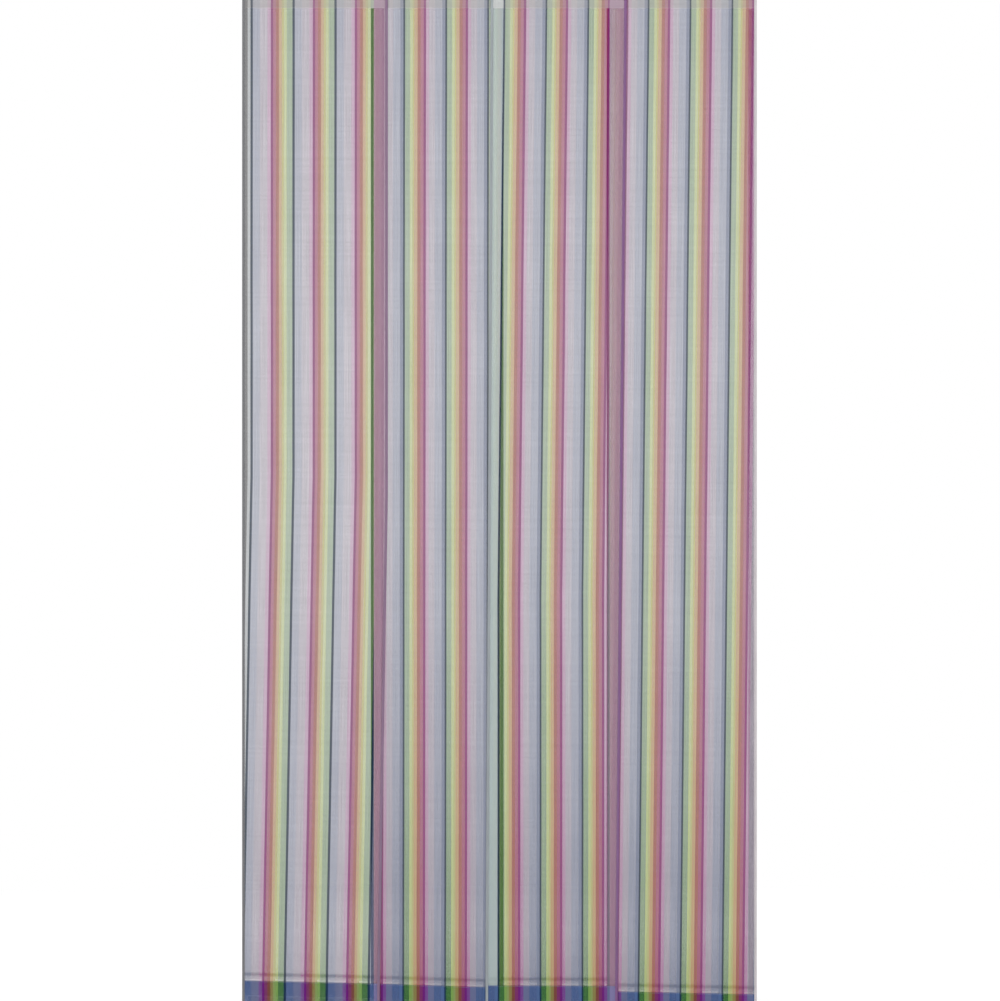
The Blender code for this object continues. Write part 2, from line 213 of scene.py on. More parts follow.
class Graph:
    """The nodes of a material or the world, with short calls for what the finishes share."""

    def __init__(self, owner: bpy.types.Material | bpy.types.World) -> None:
        """Starts with one surface shader, or with a world's background.

        Args:
            owner: the new material or world.
        """
        owner.use_nodes = True
        self.owner = owner
        self.nodes = owner.node_tree.nodes
        self.links = owner.node_tree.links
        self.shader = self.nodes.get("Principled BSDF") or self.nodes["Background"]

    def put(self, socket: Socket, value: object) -> None:
        """Links a socket to another one, or sets it to a plain value."""
        if isinstance(value, Socket):
            self.links.new(value, socket)
        else:
            socket.default_value = value

    def add(
        self, kind: str, inputs: Sequence | dict = (), operation: str | None = None
    ) -> bpy.types.Node:
        """Adds a node.

        Args:
            kind: its type.
            inputs: values or sockets for its first inputs, or for those that a dict names.
            operation: what it works out, where its type has a choice.

        Returns:
            The node.
        """
        node = self.nodes.new(kind)
        if operation:
            node.operation = operation
        for key, value in inputs.items() if isinstance(inputs, dict) else enumerate(inputs):
            self.put(node.inputs[key], value)
        return node

    def surface(self, **values: object) -> None:
        """Sets the shader's sockets, named with _ for each space."""
        for name, value in values.items():
            self.put(self.shader.inputs[name.replace("_", " ")], value)

    def math(self, operation: str, *values: object) -> Socket:
        """One sum.

        Args:
            operation: the Math node's operation.
            values: its inputs, numbers or sockets.

        Returns:
            The result.
        """
        return self.add("ShaderNodeMath", values, operation).outputs[0]

    def product(self, *factors: object) -> Socket:
        """Some values multiplied together, from left to right."""
        return reduce(partial(self.math, "MULTIPLY"), factors)

    def raised(self, value: Socket, share: float) -> Socket:
        """A factor that is 1 plus a share of a value."""
        return self.math("MULTIPLY_ADD", value, share, 1.0)

    def around_one(self, value: Socket, swing: float) -> Socket:
        """A factor about 1 from a value between 0 and 1."""
        return self.math("MULTIPLY_ADD", value, 2 * swing, 1 - swing)

    def between(self, value: Socket, low: float, high: float) -> Socket:
        """A level between two others, from a value between 0 and 1."""
        return self.math("MULTIPLY_ADD", value, high - low, low)

    def window(self, value: object, centre: float, half: float) -> Socket:
        """A soft bump that is 1 at the centre and 0 from half a width away.

        Args:
            value: the coordinate.
            centre: where the bump is highest.
            half: half its width.

        Returns:
            The bump's height.
        """
        away = self.math("ABSOLUTE", self.math("SUBTRACT", value, centre))
        span = {"Value": away, "From Max": half, "To Min": 1.0, "To Max": 0.0}
        node = self.add("ShaderNodeMapRange", span)
        node.interpolation_type = "SMOOTHSTEP"
        return node.outputs[0]

    def axes(self, vector: Socket) -> Sequence[Socket]:
        """A point's x, y and z."""
        return self.add("ShaderNodeSeparateXYZ", (vector,)).outputs

    def chart(self) -> tuple[Socket, Socket]:
        """The piece's own coordinates across and along the cloth, in metres."""
        node = self.add("ShaderNodeUVMap")
        node.uv_map = CHART
        across, along, _ = self.axes(node.outputs[0])
        return across, along

    def where(self) -> Socket:
        """The point on the piece, in metres."""
        return self.add("ShaderNodeTexCoord").outputs["Object"]

    def point(self, x: object = 0.0, y: object = 0.0, z: object = 0.0) -> Socket:
        """A point made of three values."""
        return self.add("ShaderNodeCombineXYZ", (x, y, z)).outputs[0]

    def stretched(self, vector: Socket, *grains: float) -> Socket:
        """A point counted in grains of a given size along each axis."""
        return self.add("ShaderNodeVectorMath", (vector, grains), "DIVIDE").outputs[0]

    def mottle(self, vector: Socket, detail: float = 2.0) -> Socket:
        """Soft noise between 0 and 1, one grain to a unit of its vector."""
        inputs = {"Vector": vector, "Scale": 1.0, "Detail": detail}
        return self.add("ShaderNodeTexNoise", inputs).outputs[0]

    def grain(self, vector: Socket, grain: Grain) -> Socket:
        """A grain's mottling at a point, between 0 and 1."""
        return self.mottle(self.stretched(vector, *grain.size), grain.detail)

    def shade(self, *mottles: tuple[Socket, Grain]) -> Socket:
        """How light some mottles make a colour, as a factor about 1."""
        return self.product(*(self.around_one(value, grain.shade) for value, grain in mottles))

    def tinted(self, colour: object, factor: object) -> Socket:
        """A colour made lighter or darker by a factor."""
        start = colour[:3] if isinstance(colour, tuple) else colour
        return self.add("ShaderNodeVectorMath", {0: start, "Scale": factor}, "SCALE").outputs[0]

    def scaled_channels(self, colour: object, tint: Triple) -> Socket:
        """A colour with its red, green and blue each changed by a factor."""
        return self.add("ShaderNodeVectorMath", (colour, tint), "MULTIPLY").outputs[0]

    def mixed(self, factor: object, first: object, second: object) -> Socket:
        """A mix of two colours.

        Args:
            factor: 0 for the first colour and 1 for the second.
            first: a colour or a socket.
            second: a colour or a socket.

        Returns:
            The mixed colour.
        """
        node = self.add("ShaderNodeMix")
        node.data_type = "RGBA"
        self.put(node.inputs["Factor"], factor)
        self.put(node.inputs[6], first)
        self.put(node.inputs[7], second)
        return node.outputs[2]

    def relief(self, height: object, distance: float, strength: float = 1.0) -> None:
        """Gives the surface a fine relief.

        Args:
            height: the relief's height, 0 to 1.
            distance: how deep it is, in metres.
            strength: how much of it shows.
        """
        inputs = {"Strength": strength, "Distance": distance, "Height": height}
        self.surface(Normal=self.add("ShaderNodeBump", inputs).outputs[0])

    def waves(self, value: object, pitch: float) -> Socket:
        """A sine along a coordinate, from -1 to 1."""
        return self.math("SINE", self.math("MULTIPLY", value, math.tau / pitch))


class Finish:
    """A finish made from nodes.

    In each one, rough is the roughness where its mottle is lowest and highest, and relief
    is the depth and the strength of its surface relief.
    """

    def material(self, name: str, *sizes: float) -> bpy.types.Material:
        """Makes the finish's material.

        Args:
            name: the material's name.
            sizes: the sizes of the piece that the finish follows.

        Returns:
            The material.
        """
        graph = Graph(bpy.data.materials.new(name))
        self.paint(graph, *sizes)
        return graph.owner

    def paint(self, graph: Graph, *sizes: float) -> None:
        """Builds the finish's nodes."""
        raise NotImplementedError


@dataclass(frozen=True)
class StripedMesh(Finish):
    """Open polyester mesh, woven in narrow stripes that run down the panel.

    The wall of the cloth is crossed twice by a line of sight, so each face lets through the
    square root of what the whole ply does.

    Margins are plain stripes along the left edge, from margin_low above the hem's top. Past
    end_from, in X, the cloth laps the next panel and ends in one plain stripe.
    """

    stripes: tuple[tuple[Yarn, float], ...]
    first_line: float
    margins: tuple[tuple[float, Yarn], ...] = ()
    margin_low: float = -1.0
    end_from: float = 1.0
    # Painted light: these open the mesh more at the top and less towards the bottom, with a lift in
    # the middle, so the cloth reads lighter at the top and darker lower down as light falls on it
    painted_light_top: float = 1.3
    painted_light_mid: float = 0.35
    painted_light_low: float = 0.64
    painted_light_fall: float = 1.6
    open_most: float = 0.85
    mesh_pitch: float = 0.0016
    mesh_holes: float = 0.10
    mesh_relief: float = 0.5
    soft_edge: float = 0.0004
    wander: float = 0.0010
    wander_turns: float = 2.3
    streaks: Grain = Grain((0.0011, 0.22, 1.0), shade=0.16, holes=0.30)
    bars: Grain = Grain((0.30, 0.0045, 1.0), shade=0.05, holes=0.10)
    clouds: Grain = Grain((0.05, 0.16, 1.0), detail=2.0, holes=0.12)
    # Painted highlight: a bright line just above the hem's top, where the mesh is opened so more
    # white shows through
    glow: float = 0.30
    glow_rise: float = 0.0028
    glow_half: float = 0.0030
    glow_from: float = 0.20
    backing: tuple[float, float, float, float] = (0.86, 0.84, 0.82, 1.0)
    backing_gain: float = 2.3
    backing_shut: float = 0.8
    backing_start: float = 0.0010
    backing_hidden: float = 0.6
    # Painted shade: the hem's doubled cloth made darker and bluer, for the shade between its plies
    hem_painted_shade: Triple = (0.68, 1.00, 1.34)
    # A band above the hem's top, darker and with fewer holes
    dark_band_rise: float = 0.0130
    dark_band_half: float = 0.0060
    dark_band_holes: float = -0.50
    dark_band_shade: float = -0.20
    rough: tuple[float, float] = (0.66, 0.86)
    relief: tuple[float, float] = (0.0003, 0.5)

    @property
    def repeat(self) -> float:
        """The width of one repeat of the stripes."""
        return sum(width for _, width in self.stripes)

    def stripe_ramp(self, graph: Graph, phase: Socket) -> bpy.types.Node:
        """One repeat of the stripes, as a ramp of colour and coverage.

        Args:
            graph: the material's nodes.
            phase: the place in the repeat, from 0 to 1.

        Returns:
            The ramp's node.
        """
        node = graph.add("ShaderNodeValToRGB", (phase,))
        stops = node.color_ramp.elements
        soft = self.soft_edge / self.repeat
        start = 0.0
        places = []
        for yarn, width in self.stripes:
            end = start + width / self.repeat
            places += [(start + soft, yarn.colour), (end - soft, yarn.colour)]
            start = end
        places[0] = (0.0, places[0][1])
        places[-1] = (1.0, places[-1][1])
        for index, (place, colour) in enumerate(places):
            stop = stops[index] if index < 2 else stops.new(place)
            stop.position = place
            stop.color = colour
        return node

    def woven(
        self, graph: Graph, across: Socket, up: Socket, lapping: Socket
    ) -> tuple[Socket, Socket]:
        """The repeat of the stripes, with the plain stripes at the cloth's sides.

        Args:
            graph: the material's nodes.
            across: the place from the cloth's left edge.
            up: the place above the hem's top.
            lapping: 1 where the cloth laps the next panel, 0 elsewhere.

        Returns:
            The yarn's colour, and how open the mesh is there.
        """
        first = self.first_line - self.stripes[0][1] / 2
        turns = graph.math("DIVIDE", graph.math("SUBTRACT", across, first), self.repeat)
        ramp = self.stripe_ramp(graph, graph.math("FRACT", turns))
        colour = ramp.outputs["Color"]
        openness = graph.math("SUBTRACT", 1.0, ramp.outputs["Alpha"])
        above = graph.math("GREATER_THAN", up, self.margin_low)
        plain = [
            (graph.product(above, graph.math("LESS_THAN", across, limit)), yarn)
            for limit, yarn in self.margins
        ]
        for mask, yarn in plain + [(lapping, Yarn.HEATHER)]:
            colour = graph.mixed(mask, colour, yarn.colour)
            step = graph.math("SUBTRACT", 1 - yarn.colour[3], openness)
            openness = graph.math("MULTIPLY_ADD", mask, step, openness)
        return colour, openness

    def paint(self, graph: Graph, length: float) -> None:
        """Lays the stripes on the cloth, with the marks of its weaving and sewing, and with painted
        light and shade.

        Args:
            graph: the material's nodes.
            length: how long the cloth hangs, from its hinge line to the top of its hem.
        """
        across, up = graph.chart()
        drift = graph.mottle(graph.point(graph.product(up, self.wander_turns), 0.5, 0.5))
        drift = graph.product(graph.math("SUBTRACT", drift, 0.5), self.wander)
        across = graph.math("ADD", across, drift)
        down = graph.math("SUBTRACT", 1.0, graph.math("DIVIDE", up, length))
        down = graph.math("MINIMUM", graph.math("MAXIMUM", down, 0.0), 1.0)
        lapping = graph.math("GREATER_THAN", graph.axes(graph.where())[0], self.end_from)
        colour, openness = self.woven(graph, across, up, lapping)

        heading = graph.math("GREATER_THAN", up, length + self.backing_start)
        bare = graph.raised(lapping, -self.backing_hidden)
        tape_seen = graph.product(heading, openness, self.backing_gain, bare)
        colour = graph.mixed(tape_seen, colour, self.backing)
        hem = graph.math("LESS_THAN", up, 0.0)
        # Painted shade: the doubled cloth of the hem made darker and bluer, for the shade between
        # its plies
        colour = graph.mixed(hem, colour, graph.scaled_channels(colour, self.hem_painted_shade))

        plane = graph.point(across, up, 0.0)
        streaks = graph.grain(plane, self.streaks)
        bars = graph.grain(plane, self.bars)
        clouds = graph.grain(plane, self.clouds)
        mesh = graph.product(*(graph.waves(value, self.mesh_pitch) for value in (across, up)))
        # Painted highlight: a bright line just above the hem's top, made by opening the mesh
        glow = graph.window(up, self.glow_rise, self.glow_half)
        glow = graph.product(glow, graph.math("GREATER_THAN", openness, self.glow_from))
        # The band above the hem's top, darker and with fewer holes
        dark_band = graph.window(up, self.dark_band_rise, self.dark_band_half)

        # Painted light: lighter at the top and darker towards the bottom, made by opening the mesh
        fall = graph.math("POWER", down, self.painted_light_fall)
        fall = graph.math("MULTIPLY_ADD", fall, self.painted_light_low - self.painted_light_top, self.painted_light_top)
        arch = graph.product(down, graph.math("SUBTRACT", 1.0, down))
        gain = graph.product(
            graph.math("MULTIPLY_ADD", arch, 4 * self.painted_light_mid, fall),
            graph.around_one(streaks, self.streaks.holes),
            graph.around_one(bars, self.bars.holes),
            graph.around_one(clouds, self.clouds.holes),
            graph.raised(mesh, self.mesh_holes),
            graph.raised(glow, self.glow),
            graph.raised(dark_band, self.dark_band_holes),
        )
        openness = graph.product(openness, gain, graph.raised(heading, -self.backing_shut))
        openness = graph.math("MINIMUM", openness, self.open_most)
        shade = graph.shade((streaks, self.streaks), (bars, self.bars))
        shade = graph.product(shade, graph.raised(dark_band, self.dark_band_shade))
        graph.surface(
            Base_Color=graph.tinted(colour, shade),
            Alpha=graph.math("SUBTRACT", 1.0, graph.math("SQRT", openness)),
            Roughness=graph.between(streaks, *self.rough),
            Sheen_Weight=0.15,
            Sheen_Roughness=0.5,
            Specular_IOR_Level=0.25,
        )
        uneven = graph.math("ADD", streaks, bars)
        graph.relief(graph.math("MULTIPLY_ADD", mesh, self.mesh_relief, uneven), *self.relief)


@dataclass(frozen=True)
class WovenTape(Finish):
    """Narrow polyester tape with a fine rib across it."""

    colour: Triple
    openness: float = 0.03
    rib_pitch: float = 0.0012
    rib_shade: float = 0.05
    rib_relief: float = 0.4
    fibres: Grain = Grain((0.0006, 0.05, 1.0), shade=0.22, holes=0.60)
    patches: Grain = Grain((0.02, 0.09, 1.0), detail=2.0, shade=0.12)
    rough: tuple[float, float] = (0.60, 0.85)
    relief: tuple[float, float] = (0.0002, 0.6)

    def paint(self, graph: Graph) -> None:
        """Lays ribs, fibres and uneven patches of dye on the tape.

        Args:
            graph: the material's nodes.
        """
        across, along = graph.chart()
        plane = graph.point(across, along, 0.0)
        fibres = graph.grain(plane, self.fibres)
        patches = graph.grain(plane, self.patches)
        ribs = graph.waves(along, self.rib_pitch)
        shade = graph.shade((fibres, self.fibres), (patches, self.patches))
        shade = graph.product(shade, graph.raised(ribs, self.rib_shade))
        holes = graph.product(graph.around_one(fibres, self.fibres.holes), self.openness)
        graph.surface(
            Base_Color=graph.tinted(self.colour, shade),
            Alpha=graph.math("SUBTRACT", 1.0, holes),
            Roughness=graph.between(fibres, *self.rough),
            Sheen_Weight=0.2,
            Specular_IOR_Level=0.3,
        )
        graph.relief(graph.math("MULTIPLY_ADD", ribs, self.rib_relief, fibres), *self.relief)


@dataclass(frozen=True)
class Thread(Finish):
    """Spun polyester sewing thread."""

    colour: Triple
    lay: Grain = Grain((0.0004,) * 3, shade=0.25)
    dye: Grain = Grain((0.03, 0.03, 0.06), detail=1.0, shade=0.10)
    rough: tuple[float, float] = (0.45, 0.75)
    relief: tuple[float, float] = (0.0001, 0.6)

    def paint(self, graph: Graph) -> None:
        """Lays the twist's fibres and the dye's changes on the thread.

        Args:
            graph: the material's nodes.
        """
        place = graph.where()
        lay, dye = graph.grain(place, self.lay), graph.grain(place, self.dye)
        graph.surface(
            Base_Color=graph.tinted(self.colour, graph.shade((lay, self.lay), (dye, self.dye))),
            Roughness=graph.between(lay, *self.rough),
            Sheen_Weight=0.2,
        )
        graph.relief(lay, *self.relief)


@dataclass(frozen=True)
class LoopPile(Finish):
    """Soft nylon loops, or the woven ground that they stand on."""

    colour: Triple = (0.80, 0.80, 0.77)
    loops: Grain = Grain((0.0007,) * 3, detail=4.0, shade=0.14)
    patches: Grain = Grain((0.04, 0.01, 0.01), detail=2.0, shade=0.05)
    rough: tuple[float, float] = (0.80, 0.95)
    relief: tuple[float, float] = (0.0005, 0.8)

    def paint(self, graph: Graph) -> None:
        """Lays the loops and their patches on the tape.

        Args:
            graph: the material's nodes.
        """
        place = graph.where()
        loops, patches = graph.grain(place, self.loops), graph.grain(place, self.patches)
        shade = graph.shade((loops, self.loops), (patches, self.patches))
        graph.surface(
            Base_Color=graph.tinted(self.colour, shade),
            Roughness=graph.between(loops, *self.rough),
            Sheen_Weight=0.4,
            Sheen_Roughness=0.6,
        )
        graph.relief(loops, *self.relief)


@dataclass(frozen=True)
class MouldedNylon(Finish):
    """The hook tape: stiff white nylon whose rows are cut into single hooks."""

    colour: Triple = (0.83, 0.83, 0.80)
    hook_spacing: float = 0.0015
    hook_shade: float = 0.06
    hook_relief: float = 0.5
    flow: Grain = Grain((0.05, 0.002, 0.002), shade=0.05)
    rough: tuple[float, float] = (0.32, 0.52)
    relief: tuple[float, float] = (0.0003, 0.7)

    def paint(self, graph: Graph) -> None:
        """Lays the cuts between the hooks and the plastic's flow on the tape.

        Args:
            graph: the material's nodes.
        """
        place = graph.where()
        cuts = graph.waves(graph.axes(place)[0], self.hook_spacing)
        flow = graph.grain(place, self.flow)
        shade = graph.math("MULTIPLY_ADD", cuts, self.hook_shade, graph.shade((flow, self.flow)))
        graph.surface(
            Base_Color=graph.tinted(self.colour, shade), Roughness=graph.between(flow, *self.rough)
        )
        graph.relief(graph.math("MULTIPLY_ADD", cuts, self.hook_relief, flow), *self.relief)


@dataclass(frozen=True)
class Adhesive(Finish):
    """A tacky layer, slightly yellow, with a few flow marks and trapped bubbles."""

    colour: Triple = (0.74, 0.70, 0.56)
    marks: Grain = Grain((0.012, 0.004, 0.004), detail=4.0, shade=0.10)
    bubbles: Grain = Grain((0.0015,) * 3, detail=1.0)
    bubble_from: float = 0.68
    bubble_shade: float = 0.08
    rough: tuple[float, float] = (0.22, 0.57)
    relief: tuple[float, float] = (0.0002, 0.5)

    def paint(self, graph: Graph) -> None:
        """Lays the flow marks and the bubbles on the layer.

        Args:
            graph: the material's nodes.
        """
        place = graph.where()
        marks, bubbles = graph.grain(place, self.marks), graph.grain(place, self.bubbles)
        bubbles = graph.math("GREATER_THAN", bubbles, self.bubble_from)
        shade = graph.shade((marks, self.marks))
        shade = graph.math("MULTIPLY_ADD", bubbles, self.bubble_shade, shade)
        graph.surface(
            Base_Color=graph.tinted(self.colour, shade),
            Roughness=graph.between(marks, *self.rough),
            Coat_Weight=0.2,
        )
        graph.relief(graph.math("ADD", marks, bubbles), *self.relief)


@dataclass(frozen=True)
class ZincSteel(Finish):
    """Flat steel with a thin zinc coat and faint rolling marks along it."""

    colour: Triple = (0.60, 0.61, 0.62)
    rolled: Grain = Grain((0.08, 0.0006, 0.0006), shade=0.10)
    spangle: Grain = Grain((0.006,) * 3, detail=2.0, shade=0.10)
    rough: tuple[float, float] = (0.25, 0.50)
    relief: tuple[float, float] = (0.0001, 0.4)

    def paint(self, graph: Graph) -> None:
        """Lays the rolling marks and the zinc's spangle on the steel.

        Args:
            graph: the material's nodes.
        """
        place = graph.where()
        rolled, spangle = graph.grain(place, self.rolled), graph.grain(place, self.spangle)
        shade = graph.shade((rolled, self.rolled), (spangle, self.spangle))
        graph.surface(
            Base_Color=graph.tinted(self.colour, shade),
            Metallic=1.0,
            Roughness=graph.between(spangle, *self.rough),
        )
        graph.relief(rolled, *self.relief)


def bend(
    centre: tuple[float, float], radius: float, start: float, end: float, steps: int = 8
) -> list[tuple[float, float]]:
    """Points on an arc.

    Args:
        centre: the arc's centre.
        radius: its radius.
        start: the first angle, in degrees.
        end: the last angle, in degrees.
        steps: how many straight pieces it has.

    Returns:
        The points, both ends included.
    """
    points = []
    for i in range(steps + 1):
        angle = math.radians(start + (end - start) * i / steps)
        points.append((centre[0] + radius * math.cos(angle), centre[1] + radius * math.sin(angle)))
    return points


def even(start: float, end: float, count: int) -> list[float]:
    """Evenly spaced numbers, both ends included."""
    return [start + (end - start) * i / count for i in range(count + 1)]


def add_piece(name: str, bm: bmesh.types.BMesh, material: bpy.types.Material) -> bpy.types.Object:
    """Turns a bmesh into an object with one material.

    Args:
        name: the piece's name.
        bm: its shape, which is freed.
        material: its finish.

    Returns:
        The piece.
    """
    mesh = bpy.data.meshes.new(name)
    bm.to_mesh(mesh)
    bm.free()
    mesh.materials.append(material)
    piece = bpy.data.objects.new(name, mesh)
    bpy.context.scene.collection.objects.link(piece)
    return piece


def settle(piece: bpy.types.Object) -> bpy.types.Object:
    """Applies a piece's modifiers and smooths its faces.

    Args:
        piece: the piece.

    Returns:
        The same piece, with its final mesh.
    """
    bpy.context.view_layer.update()
    drawn = piece.evaluated_get(bpy.context.evaluated_depsgraph_get())
    mesh = bpy.data.meshes.new_from_object(drawn)
    piece.modifiers.clear()
    piece.data = mesh
    mesh.name = piece.name
    mesh.shade_smooth()
    mesh.set_sharp_from_angle(angle=SMOOTH_ANGLE)
    return piece


def lay_sheet(
    name: str,
    columns: Sequence,
    rows: Sequence,
    place: Callable,
    chart: Callable,
    thickness: float,
    material: bpy.types.Material,
) -> bpy.types.Object:
    """A closed sheet of even thickness whose middle passes through place(column, row).

    Args:
        name: the piece's name.
        columns: what place and chart take for each line down the sheet.
        rows: what they take for each line across it.
        place: gives the point of a column and a row.
        chart: gives the pattern's coordinates there, in metres.
        thickness: the sheet's thickness.
        material: its finish.

    Returns:
        The sheet.
    """
    bm = bmesh.new()
    last_column, last_row = len(columns) - 1, len(rows) - 1
    bmesh.ops.create_grid(bm, x_segments=last_column, y_segments=last_row, size=1)
    layer = bm.loops.layers.uv.new(CHART)
    keys = {}
    for vert in bm.verts:
        i = round((vert.co.x + 1) / 2 * last_column)
        j = round((vert.co.y + 1) / 2 * last_row)
        keys[vert] = (columns[i], rows[j])
        vert.co = Vector(place(columns[i], rows[j]))
    for face in bm.faces:
        for loop in face.loops:
            loop[layer].uv = chart(*keys[loop.vert])
    piece = add_piece(name, bm, material)
    wall = piece.modifiers.new("wall", "SOLIDIFY")
    wall.thickness = thickness
    wall.offset = 0
    wall.use_even_offset = True
    return settle(piece)


@dataclass(frozen=True)
class Row:
    """A line across the cloth.

    The share is 0 at the hinge line and 1 at the top of the hem. The stand-off is from the
    panel's plane, to the door, and the rise is above the height that the share gives.
    """

    share: float
    stand: float = 0.0
    rise: float = 0.0


@dataclass(frozen=True)
class Cut:
    """How one panel is cut and hangs, apart from what its solids' boxes say."""

    slope: float
    fold_phase: float
    lean_left: float = 0.0
    lean_right: float = 0.0
    lean_start: float = 0.0
    drift: float = 0.0
    drift_start: float = 0.0
    drift_end: float = 1.0


@dataclass(frozen=True)
class Pattern:
    """One panel's shape in the curtain's frame."""

    number: int
    cut: Cut
    left: float
    right: float
    top_z: float
    hinge_z: float
    lowest_z: float
    plane_y: float
    side: int

    @classmethod
    def from_frame(cls, number: int, cut: Cut) -> "Pattern":
        """Works a panel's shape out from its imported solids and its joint.

        Args:
            number: the panel's number, from the left.
            cut: how it is cut.

        Returns:
            The panel's shape.
        """
        low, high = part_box(f"heading_{number}")
        hinge = next(j for j in frame["joints"] if j["child"] == f"panel_{number}")
        return cls(
            number=number,
            cut=cut,
            left=low.x,
            right=high.x,
            top_z=high.z,
            hinge_z=hinge["pos_m"][2],
            lowest_z=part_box(f"mesh_panel_{number}")[0].z,
            plane_y=hinge["pos_m"][1],
            side=int(hinge["axis"][0]),
        )

    @property
    def body(self) -> str:
        """The body that the hanging part rides on."""
        return f"panel_{self.number}"

    def edges(self, share: float) -> tuple[float, float]:
        """The x of the left and right edges, a share of the way down."""
        cut = self.cut
        leant = max(0.0, share - cut.lean_start) / (1 - cut.lean_start)
        return self.left + cut.lean_left * leant, self.right + cut.lean_right * leant

    def across(self, column: float, share: float) -> float:
        """The x of a column, from 0 at the left edge to 1 at the right one."""
        left, right = self.edges(share)
        return left + column * (right - left)

    def fold_z(self, column: float) -> float:
        """The z of the middle of the cloth at the bottom fold."""
        return self.lowest_z + CLOTH_THICKNESS / 2 + self.cut.slope * (1 - column)

    def hem_top_z(self, column: float) -> float:
        """The z of the top of the hem."""
        return self.fold_z(column) + HEM_HEIGHT

    def height(self, column: float, row: Row) -> float:
        """The z of a row at a column."""
        down = self.hem_top_z(column) - self.hinge_z
        return self.hinge_z + row.share * down + row.rise

    def share_at(self, z: float) -> float:
        """How far down a height lies, at the middle of the panel."""
        return (self.hinge_z - z) / (self.hinge_z - self.hem_top_z(0.5))

    def inside(self, column: float) -> float:
        """The place between the bindings, from 0 at the left one to 1 at the right one."""
        bound = BINDING_WIDTH / (self.right - self.left)
        return min(max((column - bound) / (1 - 2 * bound), 0.0), 1.0)

    def folds(self, column: float, share: float) -> float:
        """How far the soft folds stand out from the panel's plane."""
        turns = FOLDS_PER_PANEL * column + FOLD_DRIFT_SHARE * share + self.cut.fold_phase
        wave = (1 - math.cos(math.tau * turns)) / 2
        middle = math.sin(math.pi * self.inside(column))
        return FOLD_DEPTH * wave * math.sin(math.pi * share) * middle

    def drift(self, share: float) -> float:
        """How far the stripes have moved to the right, a share of the way down."""
        cut = self.cut
        moved = (share - cut.drift_start) / (cut.drift_end - cut.drift_start)
        return cut.drift * min(max(moved, 0.0), 1.0)


@dataclass
class Stitcher:
    """Lays single stitches of thread on the cloth, as small spindles half sunk into it."""

    length: float = 0.0030
    gap: float = 0.0012
    radius: float = 0.00022
    bm: bmesh.types.BMesh = field(default_factory=bmesh.new)
    spindle: bpy.types.Mesh = field(init=False)

    def __post_init__(self) -> None:
        """Makes the one spindle that every stitch copies."""
        shape = Matrix.Diagonal((self.radius, self.radius, self.length / 2, 1))
        bm = bmesh.new()
        bmesh.ops.create_uvsphere(bm, u_segments=5, v_segments=4, radius=1, matrix=shape)
        self.spindle = bpy.data.meshes.new("stitch")
        bm.to_mesh(self.spindle)
        bm.free()

    def stitch(self, centre: Vector, along: Vector) -> None:
        """Lays one stitch, centred on a point and lying along a direction."""
        turn = along.to_track_quat("Z", "Y").to_matrix().to_4x4()
        one = self.spindle.copy()
        one.transform(Matrix.Translation(centre) @ turn)
        self.bm.from_mesh(one)
        bpy.data.meshes.remove(one)

    def seam(self, point: Callable[[float], Vector], length: float) -> None:
        """Lays a row of stitches along a line.

        Args:
            point: gives the line's point, from 0 at its start to 1 at its end.
            length: how long the line is.
        """
        count = max(1, int(length / (self.length + self.gap)))
        half = self.length / 2 / length
        for i in range(count):
            middle = (i + 0.5) / count
            along = point(min(middle + half, 1.0)) - point(max(middle - half, 0.0))
            self.stitch(point(middle), along)

    def piece(self, name: str, material: bpy.types.Material) -> bpy.types.Object:
        """Ends the sewing and returns it as one piece."""
        made = add_piece(name, self.bm, material)
        made.data.shade_smooth()
        bpy.data.meshes.remove(self.spindle)
        return made


